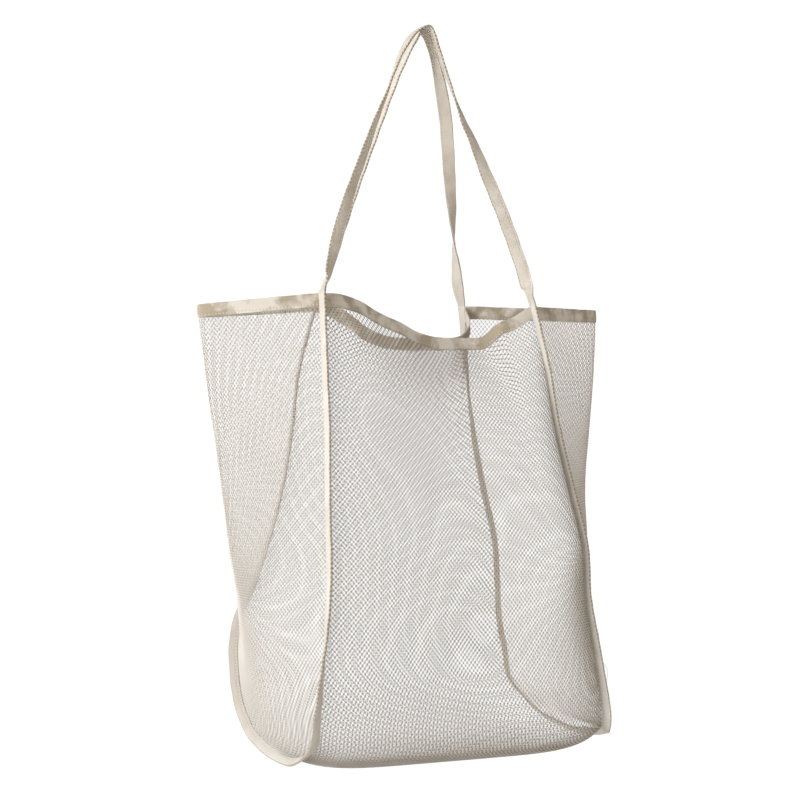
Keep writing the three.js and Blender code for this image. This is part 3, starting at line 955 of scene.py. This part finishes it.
def twill_tape(name, light, dark, fold=None, patches=(0.3, 0.7), painted_shade_span=None):
    """Twill between a light and a dark tone. Fold is the tape's width, for the painted shade along its fold,
    and the last argument gives where along the tape a painted shade starts and is full, and that shade."""
    material, tree, shader, place, cloth = new_material(name)
    fibre = place_group(tree, FIBRE, Place=place, Cloud_Size=55.0, Fuzz_Size=2200.0)
    twill = place_group(tree, TWILL, Cloth=cloth, Ridge=0.0014, Slant=0.85)
    needle = place_group(tree, NEEDLE, Cloth=cloth)
    colour = ramp(tree, fibre.outputs["Cloud"], [(patches[0], dark), (patches[1], light)])
    # Painted shade in the twill's valleys, which draws its slanting lines
    valley = math_node(tree, "SUBTRACT", 1.0, twill.outputs["Ridges"])
    colour = darken(tree, colour, math_node(tree, "MULTIPLY", valley, 0.5), (0.72, 0.66, 0.57))
    # Painted shade in the needle pits
    colour = darken(tree, colour, needle.outputs["Pits"], (0.62, 0.55, 0.45))
    # Painted shade over part of the tape's length, growing from where it starts to where it is full
    if painted_shade_span:
        low, high, shade = painted_shade_span
        past = math_node(tree, "SUBTRACT", split_map(tree, cloth)[0], low)
        share = math_node(tree, "DIVIDE", past, high - low, clamp=True)
        colour = darken(tree, colour, share, shade)
    # Painted shade along the tape's rounded fold
    if fold:
        fold_shade = place_group(tree, FOLD_SHADE, Cloth=cloth, Fold=fold)
        colour = darken(tree, colour, fold_shade.outputs["Fold Shade"], (0.38, 0.32, 0.24))
    tree.links.new(colour, shader.inputs["Base Color"])
    height = math_node(tree, "MULTIPLY_ADD", fibre.outputs["Fuzz"], 0.4, twill.outputs["Height"])
    first = bump(tree, shader, height, 0.00025)
    sunk = math_node(tree, "SUBTRACT", 1.0, needle.outputs["Pull"])
    bump(tree, shader, sunk, 0.0003, 0.8, first)
    roughen(tree, shader, fibre.outputs["Fuzz"], 0.2, 0.72)
    shader.inputs["Specular IOR Level"].default_value = 0.25
    shader.inputs["Sheen Weight"].default_value = 0.25
    shader.inputs["Sheen Roughness"].default_value = 0.5
    return material


def net_yarn(name, light, dark, knot_shade):
    material, tree, shader, place, cloth = new_material(name)
    fibre = place_group(tree, FIBRE, Place=place, Cloud_Size=35.0, Fuzz_Size=3500.0)
    colour = ramp(tree, fibre.outputs["Cloud"], [(0.3, dark), (0.7, light)])
    plies = place_group(tree, TWILL, Cloth=cloth, Ridge=0.0006, Slant=0.3)
    # Painted shade in the grooves between the yarn's plies
    valley = math_node(tree, "SUBTRACT", 1.0, plies.outputs["Ridges"])
    colour = darken(tree, colour, math_node(tree, "MULTIPLY", valley, 0.35), (0.78, 0.74, 0.68))
    knots = place_group(tree, KNOTS, Cloth=cloth)
    # Painted shade where the strands cross
    colour = darken(tree, colour, knots.outputs["Knots"], knot_shade)
    tree.links.new(colour, shader.inputs["Base Color"])
    height = math_node(tree, "MULTIPLY_ADD", fibre.outputs["Fuzz"], 0.6, plies.outputs["Ridges"])
    bump(tree, shader, height, 0.00012)
    roughen(tree, shader, fibre.outputs["Fuzz"], 0.2, 0.75)
    shader.inputs["Specular IOR Level"].default_value = 0.3
    shader.inputs["Sheen Weight"].default_value = 0.2
    return material


def sewing_thread(name, light, dark):
    material, tree, shader, place, _ = new_material(name)
    fibre = place_group(tree, FIBRE, Place=place, Cloud_Size=400.0, Fuzz_Size=5000.0)
    colour = ramp(tree, fibre.outputs["Cloud"], [(0.3, dark), (0.7, light)])
    tree.links.new(colour, shader.inputs["Base Color"])
    bump(tree, shader, fibre.outputs["Fuzz"], 0.00006)
    roughen(tree, shader, fibre.outputs["Fuzz"], 0.25, 0.5)
    return material


# One net yarn in two copies: the long net's colours and knots darker as painted shade, the side nets' lighter
# as painted light
SHADED_NET_CLOTH = net_yarn("shaded net yarn", (0.74, 0.70, 0.65), (0.63, 0.59, 0.54), (0.20, 0.18, 0.16))
LIT_NET_CLOTH = net_yarn("lit net yarn", (0.87, 0.845, 0.81), (0.79, 0.76, 0.715), (0.58, 0.55, 0.52))
# One seam tape in two copies: the left darker as painted shade, the right lighter as painted light; each also
# has painted shade over part of its length, on the left over the foot and back, on the right over the front
SEAM_CLOTH = {
    -1: twill_tape(
        "left seam tape",
        light=(0.81, 0.80, 0.775),
        dark=(0.70, 0.67, 0.615),
        fold=BINDING_WIDTH,
        painted_shade_span=(0.46, 0.58, (0.72, 0.69, 0.67)),
    ),
    1: twill_tape(
        "right seam tape",
        light=(0.97, 0.95, 0.91),
        dark=(0.88, 0.84, 0.77),
        fold=BINDING_WIDTH,
        painted_shade_span=(0.56, 0.44, (0.87, 0.87, 0.88)),
    ),
}
STRAP_CLOTH = twill_tape("strap tape", (0.85, 0.825, 0.775), (0.70, 0.645, 0.56), TAPE_WIDTH)
# The rim tape's dark patches are painted shade of its puckers
RIM_CLOTH = twill_tape("rim tape", (0.83, 0.80, 0.74), (0.47, 0.41, 0.32), patches=(0.42, 0.58))
THREAD = sewing_thread("sewing thread", (0.88, 0.85, 0.79), (0.74, 0.70, 0.62))


def make_long_net():
    cloth = LongCloth()
    net = flat_net("net", cloth.half + SEAM_ALLOWANCE, cloth.length, cloth.outside, both_ends=True)
    cuts = (FRONT_NET_LENGTH, FRONT_NET_LENGTH + FOOT_NET_LENGTH)
    words = ("front", "foot", "back")
    sizes = (
        (FRONT_NET_WIDTH, cuts[0]),
        (FOOT_NET_WIDTH, cuts[1] - cuts[0]),
        (FRONT_NET_WIDTH, RUN - cuts[1]),
    )
    pieces = split_net(net, cuts, [word + "_net" for word in words])
    for word, piece, size in zip(words, pieces, sizes):
        lay_net(piece, cloth)
        finish_piece(piece, "net", SHADED_NET_CLOTH)
    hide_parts("centre_panel")


def make_side_nets():
    for side, word in ((-1, "left"), (1, "right")):
        cloth = SideCloth(side)
        half = float(np.abs(cloth.reach).max()) + SEAM_ALLOWANCE
        net = flat_net(word + "_side_net", half, cloth.length, cloth.outside)
        lay_net(net, cloth)
        finish_piece(net, "net", LIT_NET_CLOTH, word + "_gusset")


def sewn_tape(kind, centres, ways, section, thick, inset, cloth, node, scale=None):
    """Folded tape and its stitches, with the tape's length."""
    tape, course = strip(kind + "_tape", centres, ways, section, scale)
    finish_piece(tape, "tape", cloth, node)
    lines = along_strip(centres, course, inset, thick / 2)
    stitches = finish_piece(stitch_row(kind + "_stitches", lines), "tape", THREAD)
    return tape, stitches, float(course[-1][-1])


def make_bindings():
    section = folded_section(BINDING_WIDTH, BINDING_THICK, BINDING_SLIT, 7)
    for side, word in ((-1, "left"), (1, "right")):
        at = spaced(lambda v, side=side: seam(side, v), 0, LAST)
        ways = binding_way(side, at)
        edges = seam(side, at) + ways * GAP
        tape, stitches, length = sewn_tape(
            word + "_binding",
            edges,
            ways,
            section,
            BINDING_THICK,
            STITCH_INSET,
            SEAM_CLOTH[side],
            word + "_seam_binding",
        )


def leg_path(rows, side, at):
    way = binding_way(side, np.array(float(at)))
    foot = seam(side, np.array(float(at))) + way * (GAP + BINDING_WIDTH / 2)
    before = rows[-1][3]
    turn = math.degrees(math.atan2(way[1], way[0]))
    turn += 180 * round((before - turn) / 180)
    down = (TAPE_THICK / 2 - foot[2]) / HANDLE_DROP
    return np.array(rows + [[down, foot[0] / BODY_WIDTH, foot[1] / BODY_DEPTH, turn]])


def eased(rows):
    """Rows with their sharp turns spread over their neighbours; both ends stay where they are."""
    for _ in range(TWIST_ROUNDS):
        between = 0.25 * rows[:-2] + 0.5 * rows[1:-1] + 0.25 * rows[2:]
        rows = np.concatenate([rows[:1], between, rows[-1:]])
    return rows


def hidden_foot(side, at):
    """The last of a handle, inside the seam tape that it grows out of."""
    depth = np.linspace(HIDDEN_START, HIDDEN_FOOT, 4)
    station = station_of(depth if at == 0 else RUN - depth)
    way = binding_way(side, station)
    return seam(side, station) + way * (GAP + BINDING_WIDTH / 2), way


def faced(ways, beside):
    """The same ways, all turned to the side that this one points to."""
    return ways * np.where((ways * beside).sum(1, keepdims=True) < 0, -1, 1)


def handle_line(left_rows, right_rows, foot_station, pinch):
    """The middle, the direction across and the width along one handle, from its left foot to its right."""
    left, right = leg_path(left_rows, -1, foot_station), leg_path(right_rows, 1, foot_station)

    def rows_at(v):
        return np.where((v < 0)[:, None], smooth(left, -v), smooth(right, v))

    def centre(v):
        drop, x, y, _ = rows_at(v).T
        return np.stack([x * BODY_WIDTH, y * BODY_DEPTH, TAPE_THICK / 2 - drop * HANDLE_DROP], -1)

    low, high = -(len(left) - 1), len(right) - 1
    at = spaced(centre, low, high)
    turn = np.radians(rows_at(at)[:, 3])
    ways = np.stack([np.cos(turn), np.sin(turn), 0 * turn], -1)
    near_end = np.maximum(np.maximum(1 + low - at, 1 - high + at), 0)
    widths = TAPE_WIDTH + (BINDING_WIDTH - TAPE_WIDTH) * np.clip(near_end, 0, 1)
    left_points, left_ways = hidden_foot(-1, foot_station)
    right_points, right_ways = hidden_foot(1, foot_station)
    feet = np.full(len(left_points), BINDING_WIDTH - HIDDEN_INSET)
    points = eased(np.concatenate([left_points[::-1], centre(at), right_points]))
    ways = np.concatenate([faced(left_ways, ways[0])[::-1], ways, faced(right_ways, ways[-1])])
    ways = unit(eased(ways))
    widths = np.concatenate([feet, widths, feet])
    lengths = lengths_along(points)
    for from_foot, share in ((lengths, pinch[0]), (lengths[-1] - lengths, pinch[1])):
        widths = widths * (1 - share * np.exp(-((from_foot - PINCH_HEIGHT) / PINCH_SPREAD) ** 2))
    return points, ways, widths


def make_handles():
    section = folded_section(TAPE_WIDTH, TAPE_THICK, STRAP_SLIT, 9)
    for word, left, right, at, pinch in (
        ("front", FRONT_LEFT_LEG, FRONT_RIGHT_LEG, 0, FRONT_PINCH),
        ("back", BACK_LEFT_LEG, BACK_RIGHT_LEG, LAST, (0, 0)),
    ):
        centres, ways, widths = handle_line(left, right, at, pinch)
        along = unit(np.gradient(centres, axis=0))
        wide = unit(ways - along * (ways * along).sum(1, keepdims=True))
        edges = centres - wide * (widths / 2)[:, None]
        tape, stitches, length = sewn_tape(
            word + "_handle",
            edges,
            ways,
            section,
            TAPE_THICK,
            STRAP_STITCH_INSET,
            STRAP_CLOTH,
            word + "_handle",
            scale=widths / TAPE_WIDTH,
        )


def band_piece(name, place, count, node):
    """Tape folded over a panel's top edge; place(share across, below the rim) gives a point of the panel."""

    def line(share, below):
        return place(share, np.full_like(share, below))

    edgewise, thicker, sideways = RIM_PUCKER
    section = folded_section(BAND_HEIGHT, BAND_THICK, STRAP_SLIT, 9)
    ring = len(section)
    share = np.linspace(0, 1, count)
    lengths = lengths_along(line(share, 0))
    grid_share = np.repeat(share, ring)
    grid_below = np.tile(BAND_HEIGHT - section[:, 0], count) + np.repeat(pucker(lengths, edgewise), ring)
    grid_below = np.maximum(grid_below, 0)
    down = line(grid_share, BAND_HEIGHT) - line(grid_share, 0)
    near = np.clip(grid_share, LAY_STEP, 1 - LAY_STEP)
    across = place(near + LAY_STEP, grid_below) - place(near - LAY_STEP, grid_below)
    normal = unit(np.cross(unit(down), unit(across)))
    offset = np.tile(section[:, 1], count) * (1 + np.repeat(pucker(lengths, thicker), ring))
    offset += np.repeat(pucker(lengths + RIM_PUCKER_SHIFT, sideways), ring)
    rings = (place(grid_share, grid_below) + normal * offset[:, None]).reshape(count, ring, 3)
    finish_piece(loft(name, rings, lengths, section[:, 0]), "tape", RIM_CLOTH, node)

    row = BAND_HEIGHT - STITCH_INSET
    at = np.arange(STITCH_PITCH, lengths[-1] - STITCH_PITCH / 2, STITCH_PITCH)
    share_at = np.interp(at, lengths, share)
    along = unit(line(share_at + LAY_STEP, row) - line(share_at - LAY_STEP, row))
    down = unit(line(share_at, row + CLOTH_STEP) - line(share_at, row - CLOTH_STEP))
    face = unit(np.cross(down, along))
    base = line(share_at, row) + face * pucker(at + RIM_PUCKER_SHIFT, sideways)[:, None]
    stitches = stitch_row(name.replace("tape", "stitches"), both_faces(base, along, face, BAND_THICK / 2))
    finish_piece(stitches, "tape", THREAD)


def make_bands():
    def front(share, below):
        return long_panel(below, np.clip(share, 0, 1))

    def back(share, below):
        return long_panel(RUN - below, np.clip(share, 0, 1))

    band_piece("front_rim_tape", front, 170, "front_rim_band")
    band_piece("back_rim_tape", back, 150, "back_rim_band")
    for side, word in ((-1, "left"), (1, "right")):
        cloth = SideCloth(side)
        low, high = cloth.reach[0]

        def edge(share, below, cloth=cloth, low=low, high=high):
            return cloth.spread(low + (high - low) * np.clip(share, 0, 1), below)

        band_piece(word + "_rim_tape", edge, 190, word + "_rim_band")


def thread_end(name, points):
    """A loose end of sewing thread: a thin round strand through these points."""
    at = np.linspace(0, len(points) - 1, 16)
    centres = smooth(points, at)
    along = unit(np.gradient(centres, axis=0))
    side = unit(np.cross(along, np.array([0.3, -0.9, 0.2])))
    up = np.cross(along, side)
    turn = np.radians(np.arange(0, 360, 60))
    radius = STITCH_THICK / 2 * np.linspace(1.2, 0.6, len(at))[:, None, None]
    round_way = side[:, None] * np.cos(turn)[None, :, None] + up[:, None] * np.sin(turn)[None, :, None]
    end = loft(name, centres[:, None] + round_way * radius, lengths_along(centres), np.linspace(0, 0.001, 6))
    finish_piece(end, "tape", THREAD)


def make_thread_ends():
    thread_end("left_thread_end", [
        (-0.1990, 0.0, -0.4215),
        (-0.2025, -0.001, -0.4228),
        (-0.2050, 0.0, -0.4224),
        (-0.2078, 0.001, -0.4236),
    ])
    thread_end("right_thread_end", [
        (0.1405, -0.086, -0.5830),
        (0.1436, -0.088, -0.5870),
        (0.1442, -0.089, -0.5930),
        (0.1434, -0.089, -0.6000),
    ])


# Studio
FLOOR_DROP = -1.7
WHITE_GLOW = 1.05
LIGHT_AIM = Vector((0, 0, -0.4))


def show_white(tree, lit, white, output):
    """The camera sees plain white; light and shadow come from the other shader."""
    path = tree.nodes.new("ShaderNodeLightPath")
    mix = tree.nodes.new("ShaderNodeMixShader")
    white.inputs["Color"].default_value = (1, 1, 1, 1)
    white.inputs["Strength"].default_value = WHITE_GLOW
    tree.links.new(path.outputs["Is Camera Ray"], mix.inputs[0])
    tree.links.new(lit.outputs[0], mix.inputs[1])
    tree.links.new(white.outputs[0], mix.inputs[2])
    tree.links.new(mix.outputs[0], output.inputs["Surface"])


def white_paper():
    material = bpy.data.materials.new("white paper")
    material.use_nodes = True
    tree = material.node_tree
    shader = tree.nodes["Principled BSDF"]
    shader.inputs["Base Color"].default_value = (0.9, 0.9, 0.89, 1)
    shader.inputs["Roughness"].default_value = 0.9
    show_white(tree, shader, tree.nodes.new("ShaderNodeEmission"), tree.nodes["Material Output"])
    return material


def make_studio():
    deselect_all()
    bpy.ops.mesh.primitive_circle_add(vertices=96, radius=6, fill_type="NGON", location=(0, 0, FLOOR_DROP))
    floor = bpy.context.object
    floor.name = "paper_floor"
    floor.data.materials.append(white_paper())
    world = bpy.data.worlds.new("white room")
    bpy.context.scene.world = world
    world.use_nodes = True
    tree = world.node_tree
    room = tree.nodes["Background"]
    room.inputs["Color"].default_value = (1.0, 0.89, 0.77, 1)
    room.inputs["Strength"].default_value = 0.37
    show_white(tree, room, tree.nodes.new("ShaderNodeBackground"), tree.nodes["World Output"])
    for name, place, size, power, colour in (
        ("window_left", (-2.3, -0.6, 0.1), 1.4, 72, (1, 1, 1)),
        ("soft_front", (1.2, -2.6, 0.5), 1.8, 15, (1, 0.94, 0.86)),
        ("soft_back", (0.8, 2.4, 0.5), 1.8, 18, (1, 0.98, 0.95)),
    ):
        data = bpy.data.lights.new(name, "AREA")
        data.size = size
        data.energy = power
        data.color = colour
        lamp = bpy.data.objects.new(name, data)
        bpy.context.scene.collection.objects.link(lamp)
        lamp.location = place
        lamp.rotation_euler = (LIGHT_AIM - Vector(place)).to_track_quat("-Z", "Y").to_euler()
    view = bpy.context.scene.view_settings
    view.view_transform = "Standard"
    view.look = "None"


set_camera()
make_bindings()
make_handles()
make_bands()
make_long_net()
make_side_nets()
make_thread_ends()
make_studio()
